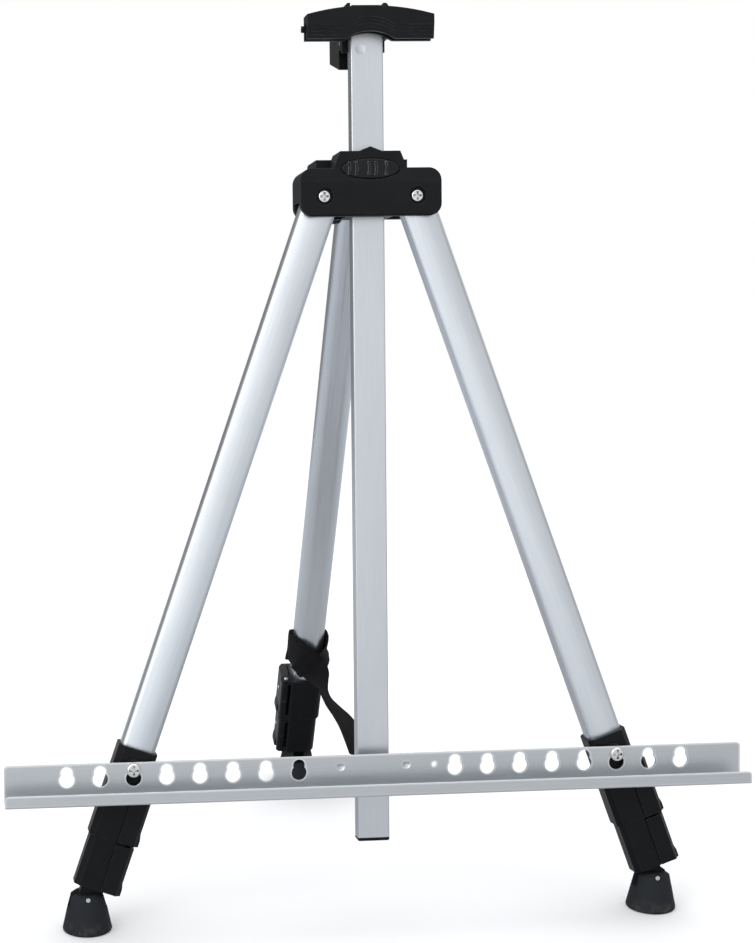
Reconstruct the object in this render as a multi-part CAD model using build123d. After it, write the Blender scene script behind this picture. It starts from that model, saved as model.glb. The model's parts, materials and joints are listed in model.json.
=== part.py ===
"""Tripod field easel: hub, sliding mast with top holder, tray rail and three telescopic legs.

Everything is millimetres, +Z up, and the feet stand on Z = 0.
The front assembly is drawn in the mast frame: X to the right, Y away from the painter, Z up the mast,
with the front leg pivots at Z = 0 and the front face of the mast at Y = 0.
Each leg is drawn hanging straight down from its pivot, front towards -Y, and then placed.
"""

import math
import os

from build123d import *

# Stance
LEAN = 7.5
SPREAD = 19.5
PIVOT_X = 31.0
LEG_Y = 5.5
REAR_Y = 46.0
REAR_Z = -5.0
PIN_DOWN = 492.5
PIN_HEIGHT = 23.0

# Fits
GAP = 0.3
RUN = 0.075

# Mast
MAST_W = 21.6
MAST_D = 11.0
MAST_WALL = 1.2
MAST_TOP = 124.0
MAST_BOTTOM = -430.0

# Hub
HUB_HALF = 47.0
HUB_LOW = -13.0
HUB_HIGH = 18.5
HUB_CREASE = 9.3
HUB_FRONT = -10.0
HUB_BROW = -8.0
HUB_SPLIT = 5.5
HUB_BACK = 21.0
TOWER_HALF = 20.0
TOWER_FOOT = 24.5
TOWER_TOP = 29.5
TOWER_PEAK = 32.5
CAVITY_X = 15.5
CAVITY_TOP = 13.5
CAVITY_SILL = -3.0
HUB_WALL = 1.5
CAVITY_HALF_Y = 10.7
PIVOT_R = 2.5
HEAD_R = 4.0
RECESS_R = 5.8
REAR_HALF = 31.0
REAR_END = 54.0
REAR_TOP = 27.0
REAR_SLOT = 12.6
REAR_CHEEK_R = 8.5

# Brake button
BUTTON_Z = 18.0
BUTTON_W = 39.0
BUTTON_H = 13.4
ROCKER_Z = 8.0
ROCKER_Y = -3.4
RIB_R = 16.0

# Leg tubes: width, depth, front arch radius, front and back corner radii
UPPER = (24.0, 20.0, 30.0, 4.5, 9.5)
TUBE_WALL = 1.2
TUBE_TOP = 8.0
REAR_TUBE_TOP = -6.0
UPPER_END = 430.0
MIDDLE_TOP = 55.0
MIDDLE_END = 468.0
LOWER_TOP = 62.0
LOWER_END = 484.0

# Locks
LOCK1_TOP = 409.0
LOCK1_END = 449.0
LOCK2_TOP = 449.5
LOCK2_END = 484.5
HOOK_TOP = 385.5
HOOK_END = 408.6
LEVER_PLATE = 2.4
LEVER_EDGE = 5.8
LEVER_SIDE = 6.4

# Foot
SOLE_R = 17.0
FOOT_TOP_R = 11.2
FOOT_H = 26.5
FOOT_PIN_R = 1.5
TONGUE_T = 8.0
TONGUE_R = 6.5

# Tray rail
RAIL_HALF = 250.0
RAIL_BACK = -11.5
RAIL_WALL = 1.6
RAIL_FRONT = -34.0
RAIL_TOP = -370.5
RAIL_FLOOR = -395.0
LIP_TOP = -386.8
HOLE_FIRST = 53.0
HOLE_PITCH = 22.2
HOLES_PER_SIDE = 8
HOLE_LOW_Z = -381.2
HOLE_LOW_R = 5.1
HOLE_HIGH_Z = -376.3
HOLE_HIGH_R = 4.0
HOOK_Z = -375.6
HOOK_HOLE = 5

# Top holder
BAR_HALF = 42.0
BAR_LOW = 101.5
BAR_END_TOP = 117.0
BAR_MID_TOP = 122.5
BAR_ARCH = 106.5
BAR_FRONT = -12.0
PRONG_TOP = 126.5
LEVER_PIN_Y = 20.8
LEVER_PIN_Z = 104.0

NODES = {}


def box(x0, x1, y0, y1, z0, z1):
    """Box from its limits."""
    return Pos((x0 + x1) / 2, (y0 + y1) / 2, (z0 + z1) / 2) * Box(x1 - x0, y1 - y0, z1 - z0)


def rod_x(radius, x0, x1, y, z):
    """Round bar along X."""
    return Pos((x0 + x1) / 2, y, z) * Rot(0, 90, 0) * Cylinder(radius, x1 - x0)


def rod_y(radius, x, y0, y1, z):
    """Round bar along Y."""
    return Pos(x, (y0 + y1) / 2, z) * Rot(90, 0, 0) * Cylinder(radius, y1 - y0)


def rod_z(radius, x, y, z0, z1):
    """Round bar along Z."""
    return Pos(x, y, (z0 + z1) / 2) * Cylinder(radius, z1 - z0)


def plate_y(face, y0, y1):
    """Extrude a face drawn with its X and Y as the frame's X and Z, from y0 to y1."""
    return Pos(0, y1, 0) * Rot(90, 0, 0) * extrude(face, amount=y1 - y0)


def grown(size, step):
    """Tube size offset outwards by step all round."""
    width, depth, arch, front, back = size
    return (width + 2 * step, depth + 2 * step, arch + step, front + step, back + step)


def section(size):
    """D-shaped tube outline, shallowly arched at the front (-Y) and round at the back."""
    width, depth, arch, front, back = size
    half_w, half_d = width / 2, depth / 2
    shoulder = math.sqrt(arch**2 - half_w**2) - arch + half_d
    bow = ThreePointArc((-half_w, -shoulder), (0, -half_d), (half_w, -shoulder))
    rest = Polyline((half_w, -shoulder), (half_w, half_d), (-half_w, half_d), (-half_w, -shoulder))
    face = make_face([bow, rest])
    face = fillet(face.vertices().group_by(Axis.Y)[0], radius=front)
    return fillet(face.vertices().group_by(Axis.Y)[-1], radius=back)


def run_of(size, top, end):
    """Solid bar of a tube outline, from top to end below the pivot."""
    return Pos(0, 0, -end) * extrude(section(size), amount=end - top)


def tube(size, top, end):
    """Hollow tube of that outline."""
    return run_of(size, top, end) - run_of(grown(size, -TUBE_WALL), top - 1, end + 1)


MIDDLE = grown(UPPER, -TUBE_WALL - GAP)
LOWER = grown(MIDDLE, -TUBE_WALL - GAP)
MIDDLE_BORE = grown(MIDDLE, GAP)
LOWER_BORE = grown(LOWER, GAP)


def phillips(radius, height):
    """Pan head with a cross recess, facing +Z, standing on Z = 0."""
    head = Pos(0, 0, height / 2) * Cylinder(radius, height)
    head = fillet(head.edges().group_by(Axis.Z)[-1], radius=0.45 * height)
    arm = Pos(0, 0, height) * Box(1.35 * radius, 0.34 * radius, 1.5 * height)
    return head - arm - Rot(0, 0, 90) * arm


# ---------------------------------------------------------------- hub


def hub_outline(peak):
    """Front view of the hub: a long plate with a tower in the middle."""
    corners = [
        (-HUB_HALF, HUB_LOW),
        (HUB_HALF, HUB_LOW),
        (HUB_HALF, HUB_HIGH),
        (TOWER_FOOT, HUB_HIGH),
        (TOWER_HALF, TOWER_TOP),
        (7.5, TOWER_TOP),
        (0, peak),
        (-7.5, TOWER_TOP),
        (-TOWER_HALF, TOWER_TOP),
        (-TOWER_FOOT, HUB_HIGH),
        (-HUB_HALF, HUB_HIGH),
    ]
    face = make_face(Polyline(*corners, close=True))
    ends = [v for v in face.vertices() if abs(v.X) > HUB_HALF - 1]
    return fillet(ends, radius=8)


def leg_cavities():
    """Space for the two front knuckles, open below and at the lower part of the ends."""
    low, high = LEG_Y - CAVITY_HALF_Y, LEG_Y + CAVITY_HALF_Y
    right = box(CAVITY_X, HUB_HALF - HUB_WALL, low, high, HUB_LOW - 5, CAVITY_TOP)
    right += box(PIVOT_X, HUB_HALF + 5, low, high, HUB_LOW - 5, CAVITY_SILL)
    return right + mirror(right, Plane.YZ)


def mast_channel():
    """Slot that the mast slides in."""
    half = MAST_W / 2 + GAP
    return box(-half, half, -GAP, MAST_D + GAP, HUB_LOW - 5, TOWER_PEAK + 5)


def build_hub_front():
    profile = [
        (HUB_FRONT, HUB_LOW + 1.5),
        (HUB_FRONT + 1.5, HUB_LOW),
        (HUB_SPLIT, HUB_LOW),
        (HUB_SPLIT, TOWER_PEAK + 1),
        (HUB_BROW, TOWER_PEAK + 1),
        (HUB_BROW, HUB_HIGH),
        (HUB_FRONT, HUB_CREASE),
    ]
    side = make_face(Polyline(*profile, close=True))
    bar = extrude(Plane.YZ * side, amount=HUB_HALF + 1, both=True)
    body = bar & plate_y(hub_outline(TOWER_PEAK), HUB_FRONT - 1, HUB_SPLIT)
    body -= leg_cavities() + mast_channel()
    for x in (-PIVOT_X, PIVOT_X):
        body -= rod_y(RECESS_R, x, HUB_FRONT - 1, HUB_FRONT + 2.8, 0)
        body -= rod_y(PIVOT_R, x, HUB_FRONT, HUB_SPLIT, 0)
    body -= box(-9, 9, -7.4, 0, HUB_LOW + 3, 25)
    body -= plate_y(Pos(0, BUTTON_Z) * Ellipse(BUTTON_W / 2 + 0.5, BUTTON_H / 2 + 0.5), HUB_FRONT - 1, -3.4)
    body -= rod_y(3.4, 0, -8.7, -4, -3)
    body -= rod_x(1.25, -12.5, 12.5, ROCKER_Y, ROCKER_Z)
    return body


def build_hub_rear():
    body = plate_y(hub_outline(TOWER_TOP + 0.01), HUB_SPLIT, HUB_BACK)
    body -= box(-HUB_HALF, HUB_HALF, HUB_BACK - 2.5, HUB_BACK + 1, HUB_HIGH, TOWER_PEAK)
    block = box(-REAR_HALF, REAR_HALF, HUB_BACK - 1, REAR_END, 8, REAR_TOP)
    back_edges = block.edges().filter_by(Axis.X).group_by(Axis.Y)[-1]
    body += fillet(back_edges, radius=4)
    cheeks = box(-REAR_SLOT - 5, REAR_SLOT + 5, HUB_BACK - 1, REAR_END, REAR_Z, 9)
    cheeks += rod_x(REAR_CHEEK_R, -REAR_SLOT - 5, REAR_SLOT + 5, REAR_Y, REAR_Z)
    cheeks += box(-REAR_SLOT - 5, REAR_SLOT + 5, HUB_BACK - 1, REAR_Y, REAR_Z - 3, REAR_Z + 1)
    body += cheeks
    body -= box(-REAR_SLOT, REAR_SLOT, HUB_BACK + 4, REAR_END + 20, REAR_Z - 20, 8.2)
    body -= box(-REAR_SLOT, REAR_SLOT, HUB_BACK + 4, REAR_END - 3.5, 0, REAR_TOP - 3)
    pocket = box(REAR_SLOT + 5, REAR_HALF - 3, HUB_BACK + 3, REAR_END - 3.5, 0, REAR_TOP - 3)
    body -= pocket + mirror(pocket, Plane.YZ)
    body -= leg_cavities() + mast_channel()
    for x in (-PIVOT_X, PIVOT_X):
        body -= rod_y(PIVOT_R, x, HUB_SPLIT, HUB_BACK + 1, 0)
        nut = Pos(x, 0) * RegularPolygon(4.62, 6)
        body -= plate_y(nut, HUB_BACK - 3, HUB_BACK + 1)
    body -= rod_x(PIVOT_R, -REAR_SLOT - 6, REAR_SLOT + 6, REAR_Y, REAR_Z)
    return body


def build_pivot_screws():
    screws = []
    for x in (-PIVOT_X, PIVOT_X):
        head = Pos(x, HUB_FRONT + 2.8, 0) * Rot(90, 0, 0) * phillips(HEAD_R, 2.2)
        screws.append(head + rod_y(PIVOT_R, x, HUB_FRONT + 2.8, HUB_BACK, 0))
    return Compound(children=screws)


def build_pivot_nuts():
    nuts = []
    for x in (-PIVOT_X, PIVOT_X):
        hexagon = plate_y(Pos(x, 0) * RegularPolygon(4.62, 6), HUB_BACK - 3, HUB_BACK)
        nuts.append(hexagon - rod_y(PIVOT_R, x, HUB_SPLIT, HUB_BACK + 1, 0))
    return Compound(children=nuts)


def build_rear_pin():
    reach = REAR_SLOT + 5
    pin = rod_x(PIVOT_R, -reach, reach, REAR_Y, REAR_Z)
    left = Pos(-reach, REAR_Y, REAR_Z) * Rot(0, -90, 0) * phillips(HEAD_R, 2.2)
    right = rod_x(HEAD_R, reach, reach + 2.2, REAR_Y, REAR_Z)
    return pin + left + right


def build_button():
    """Oval thumb button on a rocker that carries the brake pad."""
    oval = Pos(0, BUTTON_Z) * Ellipse(BUTTON_W / 2, BUTTON_H / 2)
    button = plate_y(oval, -9.4, -5.4)
    button = fillet(button.edges().group_by(Axis.Y)[0], radius=1.2)
    rib = (Circle(RIB_R + 0.8) - Circle(RIB_R - 0.8)) & Pos(RIB_R, 0) * Rectangle(8, 8.6)
    for x in (-14.2, -9.4, -1.0, 3.6, 10.6):
        button += plate_y(Pos(x - RIB_R, BUTTON_Z) * rib, -10.1, -9)
    rocker = box(-8, 8, -6, -3.6, -7, 22) + box(-8, 8, -4, -3, -7, ROCKER_Z)
    rocker += rod_x(2.4, -8, 8, ROCKER_Y, ROCKER_Z)
    return button + rocker - rod_x(1.25 + RUN, -9, 9, ROCKER_Y, ROCKER_Z)


def build_brake_pad():
    return box(-7, 7, -3, -GAP, -6.5, 1.5)


def build_button_pin():
    return rod_x(1.25, -12.5, 12.5, ROCKER_Y, ROCKER_Z)


def build_button_spring():
    """Short coil between the hub wall and the lower end of the rocker."""
    path = Helix(pitch=0.85, height=2.1, radius=2.4)
    wire = sweep(Plane(origin=path @ 0, z_dir=path % 0) * Circle(0.28), path=path, is_frenet=True)
    return Pos(0, -6.28, -3) * Rot(90, 0, 0) * wire


# ---------------------------------------------------------------- mast and top holder


def build_mast():
    outline = RectangleRounded(MAST_W, MAST_D, 0.9)
    bore = RectangleRounded(MAST_W - 2 * MAST_WALL, MAST_D - 2 * MAST_WALL, 0.5)
    length = MAST_TOP - MAST_BOTTOM
    body = Pos(0, MAST_D / 2, MAST_BOTTOM) * extrude(outline - bore, amount=length)
    dimple = Pos(-4.5, -9.5, 97) * Sphere(10.1)
    return body - dimple


def build_mast_plugs():
    inside = RectangleRounded(MAST_W - 2 * MAST_WALL, MAST_D - 2 * MAST_WALL, 0.5)
    cap = RectangleRounded(MAST_W, MAST_D, 0.9)
    bottom = Pos(0, MAST_D / 2, MAST_BOTTOM) * extrude(inside, amount=14)
    rim = Pos(0, MAST_D / 2, MAST_BOTTOM - 2.4) * extrude(cap, amount=2.4)
    rim = fillet(rim.edges().group_by(Axis.Z)[0], radius=1.2)
    top = Pos(0, MAST_D / 2, MAST_TOP - 12) * extrude(inside, amount=13.5)
    return Compound(children=[bottom + rim, top])


def bar_outline(rise):
    """Front view of the top bar; its lower edge follows an arch and is raised by rise."""
    low = BAR_LOW + rise
    lower_right = Line((BAR_HALF, low), (16, low))
    arch = ThreePointArc((16, low), (0, BAR_ARCH + rise), (-16, low))
    lower_left = Line((-16, low), (-BAR_HALF, low))
    left = Line((-BAR_HALF, low), (-BAR_HALF, BAR_END_TOP))
    crown = ThreePointArc((-BAR_HALF, BAR_END_TOP), (0, BAR_MID_TOP), (BAR_HALF, BAR_END_TOP))
    right = Line((BAR_HALF, BAR_END_TOP), (BAR_HALF, low))
    face = make_face([lower_right, arch, lower_left, left, crown, right])
    springing = [v for v in face.vertices() if abs(v.X) < BAR_HALF - 1]
    return fillet(springing, radius=6)


def build_holder_bar():
    body = plate_y(bar_outline(0), BAR_FRONT, -GAP)
    for ridge in range(1, 5):
        body += plate_y(bar_outline(2.2 * ridge), BAR_FRONT - 0.4 * ridge, BAR_FRONT + 1)
    body -= box(-BAR_HALF - 1, BAR_HALF + 1, BAR_FRONT + 2.4, -3.4, BAR_LOW - 1, BAR_LOW + 10)
    side = MAST_W / 2 + GAP
    back = MAST_D + GAP
    prong = box(side, side + 3.2, -1, back + 3.4, BAR_LOW + 2, PRONG_TOP)
    prong = chamfer(prong.edges().filter_by(Axis.Y).group_by(Axis.Z)[-1].sort_by(Axis.X)[-1], length=1.4)
    body += prong + mirror(prong, Plane.YZ)
    body += box(-side - 3.2, side + 3.2, back, back + 3.4, BAR_LOW - 5, BAR_MID_TOP - 2)
    lug = box(10.5, side + 3.2, back + 3, LEVER_PIN_Y, LEVER_PIN_Z - 5, LEVER_PIN_Z + 5)
    lug += rod_x(5, 10.5, side + 3.2, LEVER_PIN_Y, LEVER_PIN_Z)
    body += lug + mirror(lug, Plane.YZ)
    body += rod_x(2.2, -BAR_HALF - 2, -BAR_HALF + 1, -2.6, 109)
    body -= box(-side, side, -GAP, back, BAR_LOW - 10, PRONG_TOP + 5)
    return body - rod_x(1.5, -side - 4, side + 4, LEVER_PIN_Y, LEVER_PIN_Z)


def build_holder_lever():
    """Cam lever behind the mast that clamps the top holder."""
    body = rod_x(5.2, -10.2, 10.2, LEVER_PIN_Y, LEVER_PIN_Z)
    body += box(-10.2, 10.2, LEVER_PIN_Y, 29, LEVER_PIN_Z - 5.2, LEVER_PIN_Z + 2)
    profile = [(26.6, 87.5), (59, 96.5), (59, 116), (50.6, 116), (26.6, 107.5)]
    grip = extrude(Plane.YZ * make_face(Polyline(*profile, close=True)), amount=13.5, both=True)
    grip = fillet(grip.edges().filter_by(Axis.X).group_by(Axis.Y)[-1], radius=1.5)
    for y in (33, 38, 43):
        slope_z = 107.5 + (y - 26.6) * (116 - 107.5) / (50.6 - 26.6)
        grip -= rod_x(0.8, -20, 20, y, slope_z)
    return body + grip - rod_x(1.5 + RUN, -14, 14, LEVER_PIN_Y, LEVER_PIN_Z)


def build_holder_pin():
    reach = MAST_W / 2 + GAP + 3.2
    return rod_x(1.5, -reach, reach, LEVER_PIN_Y, LEVER_PIN_Z)


# ---------------------------------------------------------------- tray rail


def hole_positions():
    side = [HOLE_FIRST + i * HOLE_PITCH for i in range(HOLES_PER_SIDE)]
    return [-x for x in side] + side


def build_rail():
    profile = [
        (RAIL_BACK, RAIL_TOP),
        (RAIL_BACK, RAIL_FLOOR),
        (RAIL_FRONT, RAIL_FLOOR),
        (RAIL_FRONT, LIP_TOP),
        (RAIL_FRONT + RAIL_WALL, LIP_TOP),
        (RAIL_FRONT + RAIL_WALL, RAIL_FLOOR + RAIL_WALL),
        (RAIL_BACK - RAIL_WALL, RAIL_FLOOR + RAIL_WALL),
        (RAIL_BACK - RAIL_WALL, RAIL_TOP),
    ]
    face = make_face(Polyline(*profile, close=True))
    body = extrude(Plane.YZ * face, amount=RAIL_HALF, both=True)
    bends = [e for e in body.edges().filter_by(Axis.X) if abs(e.center().Z - RAIL_FLOOR) < 0.1]
    body = fillet(bends, radius=1.4)
    corners = [
        e
        for e in body.edges().filter_by(Axis.Y)
        if abs(abs(e.center().X) - RAIL_HALF) < 0.1 and e.center().Z > LIP_TOP - 0.1
    ]
    body = fillet(corners, radius=2.5)
    front, back = RAIL_BACK - RAIL_WALL - 1, RAIL_BACK + 1
    for x in hole_positions():
        body -= rod_y(HOLE_LOW_R, x, front, back, HOLE_LOW_Z)
        body -= rod_y(HOLE_HIGH_R, x, front, back, HOLE_HIGH_Z)
    for x in (-24.8, 19.7):
        body -= Pos(x, RAIL_BACK - RAIL_WALL - 4.2, HOLE_HIGH_Z - 1.8) * Sphere(5.0)
    return body - rod_y(1.8, 38.8, front, back, HOLE_HIGH_Z - 2.2)


def build_hook_screws():
    """Shouldered screws that the rail hangs on; they end just short of the leg collars."""
    screws = []
    face = RAIL_BACK - RAIL_WALL - GAP
    for side in (-1, 1):
        x = side * (HOLE_FIRST + HOOK_HOLE * HOLE_PITCH)
        head = Pos(x, face, HOOK_Z) * Rot(90, 0, 0) * phillips(4.6, 2.6)
        screws.append(head + rod_y(3.0, x, face, RAIL_BACK + 0.1, HOOK_Z))
    return Compound(children=screws)


# ---------------------------------------------------------------- legs


def build_front_knuckle():
    half = CAVITY_HALF_Y - GAP
    body = rod_y(12.7, 0, -half, half, 0) & box(-15, 15, -half, half, -TUBE_TOP, 15)
    body += box(-12, 12, -half, half, -TUBE_TOP, 0)
    body += run_of(grown(UPPER, -TUBE_WALL), TUBE_TOP, TUBE_TOP + 20)
    return body - rod_y(PIVOT_R + RUN, 0, -15, 15, 0)


def rear_bore():
    """Hinge hole across the top of the rear leg."""
    return rod_x(PIVOT_R + RUN, -15, 15, 0, 0)


def build_rear_knuckle():
    """Plug and cap in the top of the rear tube; the hinge pin runs through both."""
    cap = run_of(UPPER, REAR_TUBE_TOP - 1.5, REAR_TUBE_TOP)
    return cap + run_of(grown(UPPER, -TUBE_WALL), REAR_TUBE_TOP, 22) - rear_bore()


def lock_sizes(small):
    """Half-width to the left, half-width to the right, front and back reach, hinge position."""
    return (12.4, 12.0, 11.2, 10.5, 15.6, 6.0) if small else (13.8, 12.8, 12.8, 11.8, 16.4, 7.0)


def build_lock_body(top, end, held, held_end, bore, small):
    """Clamp body at the end of one tube, with two lugs for the lever pin."""
    left, right, front, back, hinge_x, hinge_y = lock_sizes(small)
    step = -front + LEVER_PLATE / 2 + GAP
    outline = [
        (-left, back),
        (-left, -front + 3.6),
        (-left + 3.6, -front),
        (LEVER_EDGE - GAP, -front),
        (LEVER_EDGE - GAP, step),
        (right, step),
        (right, back),
    ]
    face = make_face(Polyline(*outline, close=True))
    rear_corners = face.vertices().group_by(Axis.Y)[-1].sort_by(Axis.X)
    face = fillet(rear_corners[0], radius=7)
    face = fillet(face.vertices().group_by(Axis.Y)[-1].sort_by(Axis.X)[-1], radius=3)
    body = Pos(0, 0, -end) * extrude(face, amount=end - top)
    for z0, z1 in ((-top - 3.8, -top), (-end, -end + 3.8)):
        body += rod_z(3.3, hinge_x, hinge_y, z0, z1)
        body += box(right - 4, hinge_x, hinge_y - 3.3, hinge_y + 3.3, z0, z1)
    body -= rod_z(FOOT_PIN_R, hinge_x, hinge_y, -end - 1, -top + 1)
    body -= run_of(held, top - 1, held_end)
    return body - run_of(bore, held_end - 1, end + 1)


def build_lock_lever(top, end, small):
    """Flip lever wrapped round the front corner of its clamp body; it swings out sideways on its pin."""
    _, right, front, _, hinge_x, hinge_y = lock_sizes(small)
    inner = right + 0.4
    outer = inner + LEVER_SIDE
    plate = -front - LEVER_PLATE / 2
    points = [
        (inner, plate + LEVER_PLATE),
        (LEVER_EDGE, plate + LEVER_PLATE),
        (LEVER_EDGE, plate),
        (outer - 2.5, plate),
        (outer, plate + 3.5),
        (outer, hinge_y - 3.8),
        (inner, hinge_y - 3.8),
    ]
    body = Pos(0, 0, -end + 0.3) * extrude(make_face(Polyline(*points, close=True)), amount=end - top - 1.5)
    barrel = Pos(hinge_x, hinge_y) * Circle(3.3)
    neck = Pos((inner + hinge_x + 3.3) / 2, hinge_y - 2.4) * Rectangle(hinge_x + 3.3 - inner, 4.8)
    body += Pos(0, 0, -end + 4.1) * extrude(barrel + neck, amount=end - top - 8.2)
    tab = [(outer - 1, -end + 0.3), (outer + 1.0, -end + 0.3), (outer + 1.0, -end + 5), (outer - 1, -end + 14)]
    body += plate_y(make_face(Polyline(*tab, close=True)), plate + 4, plate + 14)
    body -= rod_y(1.4, hinge_x + 0.6, hinge_y + 2.6, hinge_y + 4, -(top + end) / 2)
    return body - rod_z(FOOT_PIN_R + RUN, hinge_x, hinge_y, -end - 1, -top + 1)


def build_lock_pin(top, end, small):
    hinge = lock_sizes(small)[4:]
    return rod_z(FOOT_PIN_R, *hinge, -end, -top)


def build_hook_collar():
    """Clamp on the upper tube with the boss that takes the rail's hook screw."""
    face = Pos(0, -0.8) * Rectangle(27.0, 25.4)
    face = chamfer(face.vertices().group_by(Axis.Y)[0], length=3.6)
    face = fillet(face.vertices().group_by(Axis.Y)[-1], radius=7)
    body = Pos(0, 0, -HOOK_END) * extrude(face, amount=HOOK_END - HOOK_TOP)
    reach = -HOOK_Z / math.cos(math.radians(SPREAD))
    body += rod_y(6.0, 0, RAIL_BACK + 0.5 - LEG_Y, -12, -reach)
    return body - run_of(UPPER, HOOK_TOP - 1, HOOK_END + 1)


def build_foot_plug(turned):
    """Plug in the lower tube with the tongue that the foot swings on."""
    tongue = box(-TONGUE_R, TONGUE_R, -TONGUE_T / 2, TONGUE_T / 2, -PIN_DOWN, -LOWER_END)
    tongue += rod_y(TONGUE_R, 0, -TONGUE_T / 2, TONGUE_T / 2, -PIN_DOWN)
    tongue -= rod_y(FOOT_PIN_R + RUN, 0, -TONGUE_T, TONGUE_T, -PIN_DOWN)
    if turned:
        tongue = Rot(0, 0, 90) * tongue
    return tongue + run_of(grown(LOWER, -TUBE_WALL), LOWER_END - 22, LOWER_END)


def build_foot(slot_turn):
    """Rubber cone standing on Z = 0 with its pin at PIN_HEIGHT; slot_turn lines the slot up with the leg."""
    cone = Pos(0, 0, FOOT_H / 2) * Cone(SOLE_R, FOOT_TOP_R, FOOT_H)
    cone = chamfer(cone.edges().group_by(Axis.Z)[-1], length=2.0)
    cone = fillet(cone.edges().group_by(Axis.Z)[0], radius=1.4)
    cone -= Pos(0, 0, -1) * Cylinder(9, 4)
    slot = box(-30, 30, -TONGUE_T / 2 - GAP, TONGUE_T / 2 + GAP, -TONGUE_R - 0.5, 20)
    slot += rod_y(FOOT_PIN_R, 0, -20, 20, 0)
    return cone - Pos(0, 0, PIN_HEIGHT) * slot_turn * slot


def build_foot_pin(slot_turn):
    length = 11.6
    return Pos(0, 0, PIN_HEIGHT) * slot_turn * rod_y(FOOT_PIN_R, 0, -length, length, 0)


def build_strap_loop():
    return run_of(grown(UPPER, 2.0), 358, 404) - run_of(grown(UPPER, 0.4), 350, 410)


def build_strap_tail():
    """Loose end of the strap, hanging beside the rear leg; X is mirrored because that leg is turned round."""
    points = [(-15.4, -404), (-18, -425), (-43, -453), (-56, -466), (-56, -498), (-43, -494), (-28, -452), (-14.2, -424)]
    return plate_y(make_face(Polyline(*points, close=True)), 11.5, 13.1)


# ---------------------------------------------------------------- placing


lean = Rot(-LEAN, 0, 0)


def in_world(x, y, z):
    """World direction and distance of a mast-frame point, before the lift onto the feet."""
    return (lean * Pos(x, y, z)).position


drop = PIN_DOWN * math.cos(math.radians(SPREAD))
reach_x = PIVOT_X + PIN_DOWN * math.sin(math.radians(SPREAD))
front_pin = in_world(reach_x, LEG_Y, -drop)
LIFT = PIN_HEIGHT - front_pin.Z
rear_pivot = in_world(0, REAR_Y, REAR_Z)
REAR_ANGLE = math.degrees(math.acos((rear_pivot.Z - front_pin.Z) / PIN_DOWN))
rear_pin_y = rear_pivot.Y + PIN_DOWN * math.sin(math.radians(REAR_ANGLE))
rail_front_y = in_world(0, RAIL_FRONT, RAIL_FLOOR).Y
BACK = -(rear_pin_y + SOLE_R + min(rail_front_y, front_pin.Y - SOLE_R)) / 2

stand = Pos(0, BACK, LIFT)
mast_frame = stand * lean
left_leg = mast_frame * Pos(-PIVOT_X, LEG_Y, 0) * Rot(0, SPREAD, 0)
right_leg = mast_frame * Pos(PIVOT_X, LEG_Y, 0) * Rot(0, -SPREAD, 0)
rear_leg = stand * Pos(0, rear_pivot.Y, rear_pivot.Z) * Rot(REAR_ANGLE, 0, 0) * Rot(0, 0, 180)

NODES["hub_front"] = mast_frame * build_hub_front()
NODES["hub_rear"] = mast_frame * build_hub_rear()
NODES["hub_pivot_screws"] = mast_frame * build_pivot_screws()
NODES["hub_pivot_nuts"] = mast_frame * build_pivot_nuts()
NODES["rear_hinge_pin"] = mast_frame * build_rear_pin()
NODES["mast_button"] = mast_frame * build_button()
NODES["mast_brake_pad"] = mast_frame * build_brake_pad()
NODES["button_pin"] = mast_frame * build_button_pin()
NODES["button_spring"] = mast_frame * build_button_spring()
NODES["mast_tube"] = mast_frame * build_mast()
NODES["mast_plugs"] = mast_frame * build_mast_plugs()
NODES["holder_bar"] = mast_frame * build_holder_bar()
NODES["holder_lever"] = mast_frame * build_holder_lever()
NODES["holder_pin"] = mast_frame * build_holder_pin()
NODES["tray_rail"] = mast_frame * build_rail()
NODES["tray_hook_screws"] = mast_frame * build_hook_screws()


def add_leg(name, place, knuckle, upper_tube, turned):
    """All the pieces of one leg except its foot."""
    NODES[f"{name}_knuckle"] = place * knuckle
    NODES[f"{name}_upper_tube"] = place * upper_tube
    NODES[f"{name}_middle_tube"] = place * tube(MIDDLE, MIDDLE_TOP, MIDDLE_END)
    NODES[f"{name}_lower_tube"] = place * tube(LOWER, LOWER_TOP, LOWER_END)
    NODES[f"{name}_foot_plug"] = place * build_foot_plug(turned)
    locks = (
        ("lock1", LOCK1_TOP, LOCK1_END, UPPER, UPPER_END, MIDDLE_BORE, False),
        ("lock2", LOCK2_TOP, LOCK2_END, MIDDLE, MIDDLE_END, LOWER_BORE, True),
    )
    for lock, top, end, held, held_end, bore, small in locks:
        NODES[f"{name}_{lock}_body"] = place * build_lock_body(top, end, held, held_end, bore, small)
        NODES[f"{name}_{lock}_lever"] = place * build_lock_lever(top, end, small)
        NODES[f"{name}_{lock}_pin"] = place * build_lock_pin(top, end, small)


def add_foot(name, x, y, slot_turn):
    """Foot and its pin; the sole lies flat on the ground."""
    NODES[f"{name}_foot"] = Pos(x, y, 0) * build_foot(slot_turn)
    NODES[f"{name}_foot_pin"] = Pos(x, y, 0) * build_foot_pin(slot_turn)


front_tube = tube(UPPER, TUBE_TOP, UPPER_END)
rear_tube = tube(UPPER, REAR_TUBE_TOP, UPPER_END) - rear_bore()
add_leg("left", left_leg, build_front_knuckle(), front_tube, False)
add_leg("right", right_leg, build_front_knuckle(), front_tube, False)
add_leg("rear", rear_leg, build_rear_knuckle(), rear_tube, True)
NODES["left_hook_collar"] = left_leg * build_hook_collar()
NODES["right_hook_collar"] = right_leg * build_hook_collar()
add_foot("left", -reach_x, front_pin.Y + BACK, lean)
add_foot("right", reach_x, front_pin.Y + BACK, lean)
add_foot("rear", 0, rear_pin_y + BACK, Rot(0, 0, 90))
NODES["strap_loop"] = rear_leg * build_strap_loop()
NODES["strap_tail"] = rear_leg * build_strap_tail()

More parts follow.
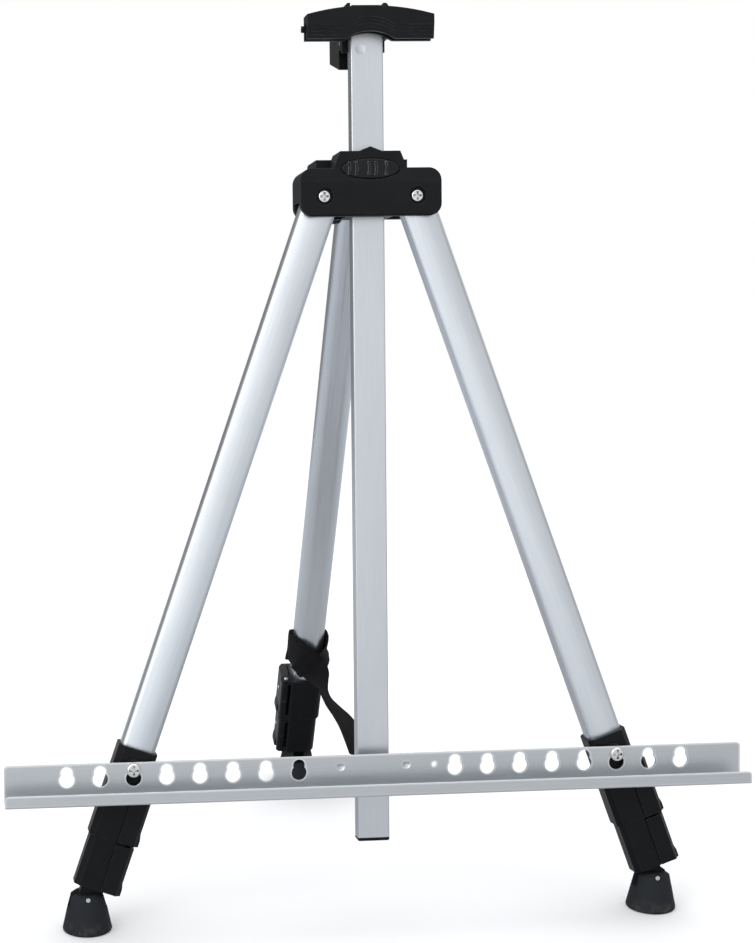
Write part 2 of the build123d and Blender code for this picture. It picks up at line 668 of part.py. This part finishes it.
os.makedirs("parts", exist_ok=True)
for node, shape in NODES.items():
    shape.label = node
    export_step(shape, f"parts/{node}.step")

print(f"nodes {len(NODES)}, lift {LIFT:.3f}, back {BACK:.3f}, rear angle {REAR_ANGLE:.3f}")
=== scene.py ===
"""Looks of the tripod field easel: materials, the carrying strap, small hardware, stage, light and camera."""

import json
import math

import bpy
from mathutils import Matrix, Vector


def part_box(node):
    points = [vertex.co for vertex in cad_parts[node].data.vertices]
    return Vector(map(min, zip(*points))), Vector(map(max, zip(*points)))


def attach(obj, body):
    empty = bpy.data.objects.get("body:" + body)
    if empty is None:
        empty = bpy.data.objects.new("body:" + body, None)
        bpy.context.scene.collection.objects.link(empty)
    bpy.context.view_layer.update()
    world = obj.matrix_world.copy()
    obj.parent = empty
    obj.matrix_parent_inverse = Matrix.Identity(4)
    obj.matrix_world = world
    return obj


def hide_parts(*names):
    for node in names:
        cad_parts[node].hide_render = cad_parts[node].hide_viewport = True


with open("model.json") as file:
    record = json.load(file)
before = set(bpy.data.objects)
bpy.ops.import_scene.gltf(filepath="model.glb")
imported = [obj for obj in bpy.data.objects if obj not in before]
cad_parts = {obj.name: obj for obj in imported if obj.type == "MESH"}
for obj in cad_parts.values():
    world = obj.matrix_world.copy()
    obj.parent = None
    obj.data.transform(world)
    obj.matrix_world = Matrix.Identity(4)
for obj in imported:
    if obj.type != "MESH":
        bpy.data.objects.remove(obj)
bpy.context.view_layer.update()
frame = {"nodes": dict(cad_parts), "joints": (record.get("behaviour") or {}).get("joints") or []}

# ---------------------------------------------------------------- where things are

JOINTS = {joint["name"]: joint for joint in frame["joints"]}


def joint_point(name):
    return Vector(JOINTS[name]["pos_m"])


def joint_axis(name):
    return Vector(JOINTS[name]["axis"]).normalized()


MAST_UP = joint_axis("mast_slide")
LEG_UP = {leg: -joint_axis(f"{leg}_middle_slide") for leg in ("left", "right", "rear")}
LEG_PIVOT = {leg: joint_point(f"{leg}_leg_fold") for leg in ("left", "right", "rear")}
MAST_AWAY = Vector((1, 0, 0)).cross(MAST_UP) * -1
LEG_WIDE = {
    "left": joint_axis("left_leg_fold").cross(LEG_UP["left"]) * -1,
    "right": joint_axis("right_leg_fold").cross(LEG_UP["right"]),
    "rear": Vector((-1, 0, 0)),
}


def leg_frame(leg):
    """Leg axes as a matrix, origin at the pivot: X across to the levers, Y to the leg's back, Z up."""
    up = LEG_UP[leg]
    wide = (LEG_WIDE[leg] - LEG_WIDE[leg].dot(up) * up).normalized()
    back = up.cross(wide)
    rows = Matrix((wide, back, up)).transposed().to_4x4()
    return Matrix.Translation(LEG_PIVOT[leg]) @ rows


def axis_turn(across, along):
    """Euler angles that carry the row frame's axes onto a piece whose length runs along 'along'."""
    side = (across - across.dot(along) * along).normalized()
    back = along.cross(side)
    return Matrix((side, back, along)).to_euler()


# ---------------------------------------------------------------- materials


def colour_mix(tree, factor, first, second):
    """Mix two colours; each is an RGB triple or a socket."""
    node = tree.nodes.new("ShaderNodeMix")
    node.data_type = "RGBA"
    tree.links.new(factor, node.inputs["Factor"])
    for key, value in (("A", first), ("B", second)):
        socket = next(s for s in node.inputs if s.name == key and s.type == "RGBA")
        if isinstance(value, tuple):
            socket.default_value = (*value, 1)
        else:
            tree.links.new(value, socket)
    return next(s for s in node.outputs if s.type == "RGBA")


class Shader:
    """A material with one Principled shader, and short names for the nodes it needs."""

    def __init__(self, name):
        self.material = bpy.data.materials.new(name)
        self.material.use_nodes = True
        self.tree = self.material.node_tree
        self.tree.nodes.clear()
        output = self.tree.nodes.new("ShaderNodeOutputMaterial")
        self.bsdf = self.tree.nodes.new("ShaderNodeBsdfPrincipled")
        self.link(self.bsdf.outputs["BSDF"], output.inputs["Surface"])

    def link(self, source, target):
        self.tree.links.new(source, target)

    def set(self, **values):
        for key, value in values.items():
            self.bsdf.inputs[key.replace("_", " ")].default_value = value

    def feed(self, socket, source):
        self.link(source, self.bsdf.inputs[socket])

    def coordinates(self, turn=(0, 0, 0), stretch=(1, 1, 1), kind="Object"):
        """Position on the piece, turned first and stretched after."""
        source = self.tree.nodes.new("ShaderNodeTexCoord").outputs[kind]
        for values, key in ((turn, "Rotation"), (stretch, "Scale")):
            mapping = self.tree.nodes.new("ShaderNodeMapping")
            mapping.inputs[key].default_value = values
            self.link(source, mapping.inputs["Vector"])
            source = mapping.outputs["Vector"]
        return source

    def noise(self, vector, scale, detail=2.0, rough=0.5):
        node = self.tree.nodes.new("ShaderNodeTexNoise")
        node.inputs["Scale"].default_value = scale
        node.inputs["Detail"].default_value = detail
        node.inputs["Roughness"].default_value = rough
        self.link(vector, node.inputs["Vector"])
        return node.outputs["Fac"]

    def remap(self, value, low, high, to_low, to_high):
        node = self.tree.nodes.new("ShaderNodeMapRange")
        for key, number in zip(("From Min", "From Max", "To Min", "To Max"), (low, high, to_low, to_high)):
            node.inputs[key].default_value = number
        self.link(value, node.inputs["Value"])
        return node.outputs["Result"]

    def math(self, operation, first, second=None):
        node = self.tree.nodes.new("ShaderNodeMath")
        node.operation = operation
        for socket, value in zip(node.inputs, (first, second)):
            if value is None:
                continue
            if isinstance(value, (int, float)):
                socket.default_value = value
            else:
                self.link(value, socket)
        return node.outputs["Value"]

    def mix(self, factor, first, second):
        return colour_mix(self.tree, factor, first, second)

    def soft_edges(self, radius):
        """Normal rounded off over sharp edges."""
        node = self.tree.nodes.new("ShaderNodeBevel")
        node.samples = 4
        node.inputs["Radius"].default_value = radius
        return node.outputs["Normal"]

    def openness(self, reach):
        """0 deep in a recess, 1 on an open face."""
        node = self.tree.nodes.new("ShaderNodeAmbientOcclusion")
        node.samples = 6
        node.inputs["Distance"].default_value = reach
        return node.outputs["AO"]

    def sharp_edge_mask(self, radius, full=0.80):
        """1 along sharp edges, where the rounded normal's cosine falls to full; 0 on flats. It is the mask
        for painted edge highlights.
        """
        match = self.tree.nodes.new("ShaderNodeVectorMath")
        match.operation = "DOT_PRODUCT"
        true_normal = self.tree.nodes.new("ShaderNodeNewGeometry").outputs["True Normal"]
        self.link(self.soft_edges(radius), match.inputs[0])
        self.link(true_normal, match.inputs[1])
        return self.remap(match.outputs["Value"], 0.99, full, 0, 1)

    def bump(self, height, distance, strength, normal=None):
        """Raise the surface by height, over the given normal if there is one."""
        node = self.tree.nodes.new("ShaderNodeBump")
        node.inputs["Distance"].default_value = distance
        node.inputs["Strength"].default_value = strength
        self.link(height, node.inputs["Height"])
        if normal is not None:
            self.link(normal, node.inputs["Normal"])
        self.feed("Normal", node.outputs["Normal"])


def drawn_aluminium(name, turn, light, dark, roughness, rim_highlight_width=0.0):
    """Satin anodised aluminium: fine lines along the piece's length, and sharp cut rims painted white as a
    painted highlight, as wide as the last argument.
    """
    shader = Shader(name)
    shader.set(Metallic=1.0)
    lines = shader.noise(shader.coordinates(turn, (1, 1, 0.012)), 2600, 3, 0.6)
    cloud = shader.noise(shader.coordinates(turn, (1, 1, 0.35)), 26, 3, 0.55)
    grain = shader.noise(shader.coordinates(), 5200, 1)
    tone = shader.math("ADD", shader.math("MULTIPLY", lines, 0.6), shader.math("MULTIPLY", cloud, 0.4))
    colour = shader.mix(shader.remap(tone, 0.35, 0.65, 0, 1), dark, light)
    # Painted highlight: sharp rims turn white
    if rim_highlight_width:
        colour = shader.mix(shader.sharp_edge_mask(rim_highlight_width, 0.94), colour, (1.0, 1.0, 1.0))
    shader.feed("Base Color", colour)
    spread = shader.math("ADD", shader.math("MULTIPLY", lines, 0.10), shader.math("MULTIPLY", cloud, 0.08))
    shader.feed("Roughness", shader.math("ADD", spread, roughness - 0.09))
    height = shader.math("ADD", lines, shader.math("MULTIPLY", grain, 0.5))
    shader.bump(height, 0.00003, 0.7, shader.soft_edges(0.0003))
    return shader.material


def moulded_plastic(name, base, edge_highlight_colour, roughness):
    """Black moulding: spark-eroded texture, flow patches, edges smoother and painted a lighter grey in
    patches as a painted highlight.
    """
    shader = Shader(name)
    shader.set(Specular_IOR_Level=0.16)
    spark = shader.noise(shader.coordinates(), 3200, 2, 0.6)
    flow = shader.noise(shader.coordinates(), 45, 3, 0.6)
    highlight_patches = shader.noise(shader.coordinates(), 210, 3, 0.6)
    # Painted highlight: sharp edges, in noise patches, lighten towards the edge colour and turn smoother
    edge_highlight_mask = shader.math("MULTIPLY", shader.sharp_edge_mask(0.0006), shader.remap(highlight_patches, 0.38, 0.62, 0.25, 1))
    body = shader.mix(shader.remap(flow, 0.35, 0.7, 0, 1), base, tuple(1.5 * c for c in base))
    shader.feed("Base Color", shader.mix(edge_highlight_mask, body, edge_highlight_colour))
    rough = shader.math("ADD", shader.math("MULTIPLY", flow, 0.16), roughness - 0.08)
    shader.feed("Roughness", shader.math("SUBTRACT", rough, shader.math("MULTIPLY", edge_highlight_mask, 0.10)))
    height = shader.math("ADD", spark, shader.math("MULTIPLY", flow, 1.5))
    shader.bump(height, 0.00006, 0.8, shader.soft_edges(0.0005))
    return shader.material


def moulded_rubber(name):
    """Dull rubber with a pitted surface and dust caught low down."""
    shader = Shader(name)
    shader.set(Specular_IOR_Level=0.25)
    pits = shader.noise(shader.coordinates(), 1500, 3, 0.7)
    dust = shader.noise(shader.coordinates(), 160, 4, 0.65)
    height_axis = shader.tree.nodes.new("ShaderNodeSeparateXYZ")
    shader.link(shader.coordinates(), height_axis.inputs["Vector"])
    low = shader.remap(height_axis.outputs["Z"], 0.0, 0.010, 1, 0)
    dusty = shader.math("MULTIPLY", shader.remap(dust, 0.45, 0.75, 0, 0.6), low)
    shader.feed("Base Color", shader.mix(dusty, (0.0155, 0.0180, 0.0215), (0.13, 0.12, 0.105)))
    shader.feed("Roughness", shader.remap(pits, 0.3, 0.7, 0.58, 0.78))
    shader.bump(shader.math("ADD", pits, dust), 0.00012, 0.7, shader.soft_edges(0.0006))
    return shader.material


def plated_steel(name):
    """Bright zinc plate with faint turning marks, and painted shade: nearly black deep in recesses such as
    the screw crosses.
    """
    shader = Shader(name)
    shader.set(Metallic=1.0)
    marks = shader.noise(shader.coordinates(stretch=(1, 0.1, 1)), 3000, 2)
    patch = shader.noise(shader.coordinates(), 300, 3)
    bright = shader.mix(patch, (0.66, 0.66, 0.64), (0.90, 0.90, 0.89))
    # Painted shade: the colour goes nearly black where ambient occlusion finds a recess
    painted_recess_shade = shader.remap(shader.openness(0.0012), 0.45, 0.85, 0, 1)
    shader.feed("Base Color", shader.mix(painted_recess_shade, (0.05, 0.05, 0.05), bright))
    shader.feed("Roughness", shader.remap(marks, 0.3, 0.7, 0.16, 0.34))
    shader.bump(marks, 0.00003, 0.6, shader.soft_edges(0.0002))
    return shader.material


WEAVE_PITCH = 0.0011


def woven_webbing(name):
    """Plain-woven strap: UV is across and along the strap in metres."""
    shader = Shader(name)
    shader.set(Specular_IOR_Level=0.1, Sheen_Weight=0.04, Sheen_Roughness=0.5)
    split = shader.tree.nodes.new("ShaderNodeSeparateXYZ")
    shader.link(shader.coordinates(kind="UV"), split.inputs["Vector"])
    turns = math.pi / WEAVE_PITCH
    across = shader.math("SINE", shader.math("MULTIPLY", split.outputs["X"], turns))
    along = shader.math("SINE", shader.math("MULTIPLY", split.outputs["Y"], turns * 0.6))
    weave = shader.math("MULTIPLY", across, along)
    rib = shader.math("ABSOLUTE", across)
    height = shader.math("ADD", shader.math("MULTIPLY", weave, 0.5), rib)
    fuzz = shader.noise(shader.coordinates(), 6000, 2)
    # Painted shade in the weave: hollows between threads darker, raised threads lighter, with random fuzz on
    # top
    painted_weave_shade_and_fuzz = shader.math("ADD", shader.remap(height, -0.5, 1.5, 0, 0.7), shader.math("MULTIPLY", fuzz, 0.3))
    shader.feed("Base Color", shader.mix(painted_weave_shade_and_fuzz, (0.0022, 0.0022, 0.0028), (0.0120, 0.0122, 0.0138)))
    shader.feed("Roughness", shader.remap(fuzz, 0.3, 0.7, 0.62, 0.85))
    shader.bump(shader.math("ADD", height, shader.math("MULTIPLY", fuzz, 0.4)), 0.00025, 0.9)
    return shader.material


LEG_LIGHT, LEG_DARK = (0.79, 0.83, 0.87), (0.69, 0.73, 0.775)
MAST_LIGHT, MAST_DARK = (0.70, 0.73, 0.76), (0.62, 0.65, 0.685)
RAIL_LIGHT, RAIL_DARK = (0.635, 0.66, 0.68), (0.565, 0.59, 0.61)
# Width of the painted highlight on the rail's rims
RAIL_RIM_HIGHLIGHT = 0.0022

tube_looks = {}
for leg, up in LEG_UP.items():
    along_leg = axis_turn(Vector((1, 0, 0)), up)
    tube_looks[leg] = drawn_aluminium(f"{leg}_tube_look", along_leg, LEG_LIGHT, LEG_DARK, 0.34)
along_mast = axis_turn(Vector((1, 0, 0)), MAST_UP)
tube_looks["mast"] = drawn_aluminium("mast_look", along_mast, MAST_LIGHT, MAST_DARK, 0.36)
along_rail = axis_turn(Vector((0, 0, 1)), Vector((1, 0, 0)))
rail_look = drawn_aluminium("rail_look", along_rail, RAIL_LIGHT, RAIL_DARK, 0.38, RAIL_RIM_HIGHLIGHT)
# The second colour of each moulding is its painted edge highlight
black_look = moulded_plastic("black_moulding", (0.0046, 0.0050, 0.0058), (0.070, 0.074, 0.084), 0.38)
lever_look = moulded_plastic("lever_moulding", (0.0050, 0.0054, 0.0062), (0.080, 0.084, 0.094), 0.35)
button_look = moulded_plastic("button_moulding", (0.0085, 0.0090, 0.0105), (0.300, 0.305, 0.315), 0.34)
rubber_look = moulded_rubber("foot_rubber_look")
steel_look = plated_steel("zinc_steel")
strap_look = woven_webbing("strap_weave")


def look_of(node):
    if node == "mast_tube":
        return tube_looks["mast"]
    if node.endswith("_tube"):
        return tube_looks[node.split("_")[0]]
    if node == "tray_rail":
        return rail_look
    if node.endswith("_foot") or node == "mast_brake_pad":
        return rubber_look
    if node == "mast_button":
        return button_look
    if node.endswith("_lever"):
        return lever_look
    if node.endswith(("_pin", "_screws", "_nuts", "_spring")):
        return steel_look
    return black_look


for node in frame["nodes"]:
    shown = bpy.data.objects[node]
    shown.data.materials.clear()
    shown.data.materials.append(look_of(node))

# ---------------------------------------------------------------- small hardware


def mesh_piece(name, verts, faces, look, body):
    """Smooth mesh with one material, riding on a body."""
    mesh = bpy.data.meshes.new(name)
    mesh.from_pydata(verts, [], faces)
    mesh.materials.append(look)
    for polygon in mesh.polygons:
        polygon.use_smooth = True
    piece = bpy.data.objects.new(name, mesh)
    bpy.context.scene.collection.objects.link(piece)
    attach(piece, body)
    return piece


def turned(name, profile, place, look, body, steps):
    """Lathe a profile of (radius, height) about the Z axis of place."""
    verts = []
    faces = []
    for radius, height in profile:
        for i in range(steps):
            angle = 2 * math.pi * i / steps
            verts.append(place @ Vector((radius * math.cos(angle), radius * math.sin(angle), height)))
    for ring in range(len(profile) - 1):
        for i in range(steps):
            j = (i + 1) % steps
            low, high = ring * steps, (ring + 1) * steps
            faces.append((low + i, low + j, high + j, high + i))
    faces.append(tuple(range(steps))[::-1])
    faces.append(tuple((len(profile) - 1) * steps + i for i in range(steps)))
    return mesh_piece(name, verts, faces, look, body)


# (radius, height) of a rivet's dome, and how far its foot is from the leg's axis on lever 1 and lever 2
RIVET_DOME = [(0.0017, -0.0004), (0.0017, 0.0002), (0.0014, 0.0005), (0.0008, 0.0007), (0.0002, 0.00075)]
RIVET_OUT = {1: 0.0196, 2: 0.0188}
RIVET_FORWARD = 0.004
RIVET_ABOVE_MIDDLE = 0.002


def lever_rivets():
    """Bright domed rivet on the outer face of each flip lever."""
    for leg in ("left", "right", "rear"):
        to_world = leg_frame(leg)
        for number, outer in RIVET_OUT.items():
            low, high = (Vector(v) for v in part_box(f"{leg}_lock{number}_lever"))
            centre = to_world.inverted() @ ((low + high) / 2)
            spot = Vector((outer, -RIVET_FORWARD, centre.z + RIVET_ABOVE_MIDDLE))
            place = to_world @ Matrix.Translation(spot) @ Matrix.Rotation(math.pi / 2, 4, "Y")
            body = f"{leg}_lever{number}"
            turned(f"{body}_rivet", RIVET_DOME, place, steel_look, body, 24)


lever_rivets()

# ---------------------------------------------------------------- carrying strap


MM = 0.001
STRAP_WIDTH = 25.0
STRAP_THICK = 1.4
STRAP_STEPS = 180
STRAP_ACROSS = 10
EDGE_THICKNESS = 0.35

# The turn round the rear leg: degrees from the leg's back, millimetres down from the hinge, spare radius
STRAP_TURN = [
    (25, 396, 0.0),
    (60, 386, 0.0),
    (90, 380, 0.0),
    (135, 386, 0.0),
    (180, 390, 0.0),
    (225, 386, 0.3),
    (270, 380.5, 1.0),
]
TURN_RADIUS_X = 14.6
TURN_RADIUS_Y = 12.6

# The loose tail in the leg's millimetres: x, y, down, and the direction of the strap's width
STRAP_TAIL = [
    (9.8, 11.5, 381.2, -0.15, 0.0, 1.0),
    (3.6, 14.8, 385.9, -0.4, 0.0, 0.92),
    (-0.9, 16.4, 390.3, -0.75, -0.05, 0.66),
    (-3.9, 18.4, 394.2, -0.75, 0.32, 0.58),
    (-5.8, 20.4, 398.8, -0.58, 0.63, 0.52),
    (-8.3, 22.6, 404.1, -0.32, 0.81, 0.48),
    (-11.8, 24.6, 409.9, -0.28, 0.91, 0.3),
    (-17.8, 24.6, 418.7, -0.46, 0.86, 0.21),
    (-25.2, 22.5, 430.8, -0.62, 0.75, 0.21),
    (-33.4, 19.0, 445.2, -0.68, 0.71, 0.18),
    (-40.6, 15.5, 461.1, -0.67, 0.72, 0.16),
    (-47.3, 13.5, 477.9, -0.67, 0.71, 0.2),
    (-52.3, 13.0, 491.1, -0.68, 0.7, 0.23),
]


def spline(rows, share):
    """Catmull-Rom point at share (0 to 1) of a list of equal-length tuples."""
    last = len(rows) - 1
    place = min(share * last, last - 1e-9)
    k = int(place)
    t = place - k
    p0, p1, p2, p3 = (rows[min(max(k + i, 0), last)] for i in (-1, 0, 1, 2))
    result = []
    for a, b, c, d in zip(p0, p1, p2, p3):
        curve = 2 * b + (c - a) * t + (2 * a - 5 * b + 4 * c - d) * t * t + (3 * b - a - 3 * c + d) * t**3
        result.append(0.5 * curve)
    return result


def ribbon_lines(rows):
    """Centre points and width directions along a spline through rows, in the leg's millimetres with Z up."""
    samples = [spline(rows, i / STRAP_STEPS) for i in range(STRAP_STEPS + 1)]
    centres = [Vector((x, y, -down)) for x, y, down, *_ in samples]
    return centres, [Vector(sample[3:]) for sample in samples]


def ribbon(name, rows, place, body):
    """Strap along rows of (x, y, down, lean_x, lean_y, lean_up); gives the piece and its length in metres."""
    centres, leans = ribbon_lines(rows)
    verts = []
    lengths = [0.0]
    for i, centre in enumerate(centres):
        before = centres[max(i - 1, 0)]
        tangent = (centres[min(i + 1, STRAP_STEPS)] - before).normalized()
        wide = (leans[i] - leans[i].dot(tangent) * tangent).normalized()
        face = tangent.cross(wide)
        if i:
            lengths.append(lengths[-1] + (centre - before).length)
        for side in (1, -1):
            for j in range(STRAP_ACROSS + 1):
                reach = (j / STRAP_ACROSS - 0.5) * side
                rounding = 1 - (2 * abs(reach)) ** 6
                lift = 0.5 * STRAP_THICK * (EDGE_THICKNESS + (1 - EDGE_THICKNESS) * rounding) * side
                verts.append(place @ ((centre + wide * reach * STRAP_WIDTH + face * lift) * MM))
    ring = 2 * (STRAP_ACROSS + 1)
    faces = []
    for i in range(STRAP_STEPS):
        for j in range(ring):
            k = (j + 1) % ring
            faces.append((i * ring + j, i * ring + k, (i + 1) * ring + k, (i + 1) * ring + j))
    faces.append(tuple(range(ring))[::-1])
    faces.append(tuple(STRAP_STEPS * ring + j for j in range(ring)))
    piece = mesh_piece(name, verts, faces, strap_look, body)
    layer = piece.data.uv_layers.new(name="UVMap")
    for loop in piece.data.loops:
        step, spot = divmod(loop.vertex_index, ring)
        across = spot % (STRAP_ACROSS + 1) / STRAP_ACROSS
        layer.data[loop.index].uv = (across * STRAP_WIDTH * MM, lengths[step] * MM)
    return piece, lengths[-1] * MM


def strap():
    """Webbing strap: once round the rear leg, dipping at the front, then loose down to the right."""
    rows = []
    for degrees, down, spare in STRAP_TURN:
        angle = math.radians(degrees)
        round_x = -(TURN_RADIUS_X + spare) * math.sin(angle)
        round_y = (TURN_RADIUS_Y + spare) * math.cos(angle)
        rows.append((round_x, round_y, down, 0.0, 0.0, 1.0))
    piece, length = ribbon("carry_strap", rows + STRAP_TAIL, leg_frame("rear"), "rear_upper_leg")
    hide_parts("strap_loop", "strap_tail")
    return piece, length


carry_strap, strap_length = strap()

# ---------------------------------------------------------------- stage, light and camera


def seen_directly(tree):
    """1 for what the camera sees itself, 0 for what lights the object or mirrors in it."""
    return tree.nodes.new("ShaderNodeLightPath").outputs["Is Camera Ray"]


FLOOR_RADIUS = 2.0
# Painted shadow of the floor that mirrors in the tubes: near the easel and far out
FLOOR_SHADED_NEAR, FLOOR_SHADED_FAR = (0.38, 0.38, 0.39), (0.52, 0.54, 0.57)


def stage_floor():
    """Pale floor; what mirrors in the tubes and lights them is a greyer floor with a painted shadow, darkest
    under the easel.
    """
    bpy.ops.mesh.primitive_circle_add(vertices=96, radius=FLOOR_RADIUS, fill_type="NGON")
    floor = bpy.context.object
    floor.name = "floor"
    shader = Shader("pale_floor")
    cloud = shader.noise(shader.coordinates(), 3, 2)
    pale = shader.mix(cloud, (0.92, 0.925, 0.93), (0.94, 0.94, 0.94))
    away = shader.tree.nodes.new("ShaderNodeVectorMath")
    away.operation = "LENGTH"
    shader.link(shader.coordinates(), away.inputs[0])
    distance = shader.remap(away.outputs["Value"], 0.3, 1.2, 0, 1)
    # Painted shadow: grey for mirrored and lighting rays, darkest under the easel
    painted_floor_shadow = shader.mix(distance, FLOOR_SHADED_NEAR, FLOOR_SHADED_FAR)
    shader.feed("Base Color", shader.mix(seen_directly(shader.tree), painted_floor_shadow, pale))
    shader.set(Roughness=0.9, Specular_IOR_Level=0.05)
    floor.data.materials.append(shader.material)


LIT_POINT = Vector((0, 0, 0.3))


def area_light(name, place, size, power):
    """Square soft light aimed at the easel's middle."""
    data = bpy.data.lights.new(name, "AREA")
    data.shape = "RECTANGLE"
    data.size = data.size_y = size
    data.energy = power
    lamp = bpy.data.objects.new(name, data)
    lamp.location = place
    lamp.rotation_euler = (LIT_POINT - Vector(place)).to_track_quat("-Z", "Y").to_euler()
    bpy.context.scene.collection.objects.link(lamp)


# Brightness of the room by compass direction: 0 is behind the easel, 0.25 left, 0.5 in front, 0.75 right
ROOM = [
    (0.00, 0.20),
    (0.20, 0.22),
    (0.28, 0.60),
    (0.34, 1.10),
    (0.50, 1.02),
    (0.56, 0.80),
    (0.65, 0.60),
    (0.76, 0.42),
    (0.86, 0.75),
    (0.93, 0.60),
    (1.00, 0.20),
]
CEILING = (0.95, 0.97, 1.0)


def studio():
    """White backdrop for the camera; for the rest a room bright at the left front, dim right, dark behind."""
    world = bpy.data.worlds.new("studio")
    world.use_nodes = True
    tree = world.node_tree
    tree.nodes.clear()
    new, link = tree.nodes.new, tree.links.new
    split = new("ShaderNodeSeparateXYZ")
    link(new("ShaderNodeTexCoord").outputs["Generated"], split.inputs["Vector"])
    bearing = new("ShaderNodeMath")
    bearing.operation = "ARCTAN2"
    back = new("ShaderNodeMath")
    back.operation = "MULTIPLY"
    back.inputs[1].default_value = -1.0
    link(split.outputs["Y"], back.inputs[0])
    link(split.outputs["X"], bearing.inputs[0])
    link(back.outputs["Value"], bearing.inputs[1])
    compass = new("ShaderNodeMapRange")
    compass.inputs["From Min"].default_value = -math.pi
    compass.inputs["From Max"].default_value = math.pi
    link(bearing.outputs["Value"], compass.inputs["Value"])
    walls = new("ShaderNodeValToRGB")
    ramp = walls.color_ramp
    ramp.elements[0].position, ramp.elements[1].position = ROOM[0][0], ROOM[-1][0]
    for position, _ in ROOM[1:-1]:
        ramp.elements.new(position)
    for element, (_, level) in zip(ramp.elements, ROOM):
        element.color = (level * 0.98, level * 0.99, level, 1)
    link(compass.outputs["Result"], walls.inputs["Fac"])
    ceiling = new("ShaderNodeMapRange")
    ceiling.inputs["From Min"].default_value = 0.35
    ceiling.inputs["From Max"].default_value = 0.9
    link(split.outputs["Z"], ceiling.inputs["Value"])
    room = new("ShaderNodeBackground")
    walls_and_ceiling = colour_mix(tree, ceiling.outputs["Result"], walls.outputs["Color"], CEILING)
    link(walls_and_ceiling, room.inputs["Color"])
    backdrop = new("ShaderNodeBackground")
    backdrop.inputs["Color"].default_value = (1, 1, 1, 1)
    choice = new("ShaderNodeMixShader")
    link(seen_directly(tree), choice.inputs["Fac"])
    link(room.outputs["Background"], choice.inputs[1])
    link(backdrop.outputs["Background"], choice.inputs[2])
    link(choice.outputs["Shader"], new("ShaderNodeOutputWorld").inputs["Surface"])
    bpy.context.scene.world = world
    area_light("key", (-2.4, -2.2, 2.2), 2.6, 40)
    area_light("top", (0.2, 0.4, 3.0), 3.2, 45)
    bpy.context.scene.view_settings.view_transform = "Standard"


IMAGE_HEIGHT = 943
FOCAL_LENGTH = 1961.6 / IMAGE_HEIGHT
LENS_SHIFT = (262.3 / IMAGE_HEIGHT, 68.0 / IMAGE_HEIGHT)
SENSOR_HEIGHT = 36
VIEW_TURN = math.radians(4.657)
VIEW_DIP = math.radians(11.714)
VIEW_ROLL = math.radians(-0.458)
VIEWER_FROM_HUB = Vector((-0.2758, -1.2996, 0.0432))
HUB_AXIS_DEPTH = 0.0055


def camera():
    """Camera at the viewing angle of the picture: a little to the left of the mast and looking down."""
    level_forward = Vector((math.sin(VIEW_TURN), math.cos(VIEW_TURN), 0))
    forward = level_forward * math.cos(VIEW_DIP) - Vector((0, 0, 1)) * math.sin(VIEW_DIP)
    right = Vector((math.cos(VIEW_TURN), -math.sin(VIEW_TURN), 0))
    rolled_right = math.cos(VIEW_ROLL) * right + math.sin(VIEW_ROLL) * right.cross(forward)
    rolled_up = rolled_right.cross(forward)
    data = bpy.data.cameras.new("camera")
    data.sensor_fit = "VERTICAL"
    data.sensor_height = SENSOR_HEIGHT
    data.lens = FOCAL_LENGTH * SENSOR_HEIGHT
    data.shift_x, data.shift_y = LENS_SHIFT
    data.clip_end = 100
    viewer = bpy.data.objects.new("camera", data)
    viewer.matrix_world = Matrix((rolled_right, rolled_up, -forward)).transposed().to_4x4()
    hub = (LEG_PIVOT["left"] + LEG_PIVOT["right"]) / 2 - MAST_AWAY * HUB_AXIS_DEPTH
    viewer.location = hub + VIEWER_FROM_HUB
    bpy.context.scene.collection.objects.link(viewer)
    bpy.context.scene.camera = viewer


stage_floor()
studio()
camera()
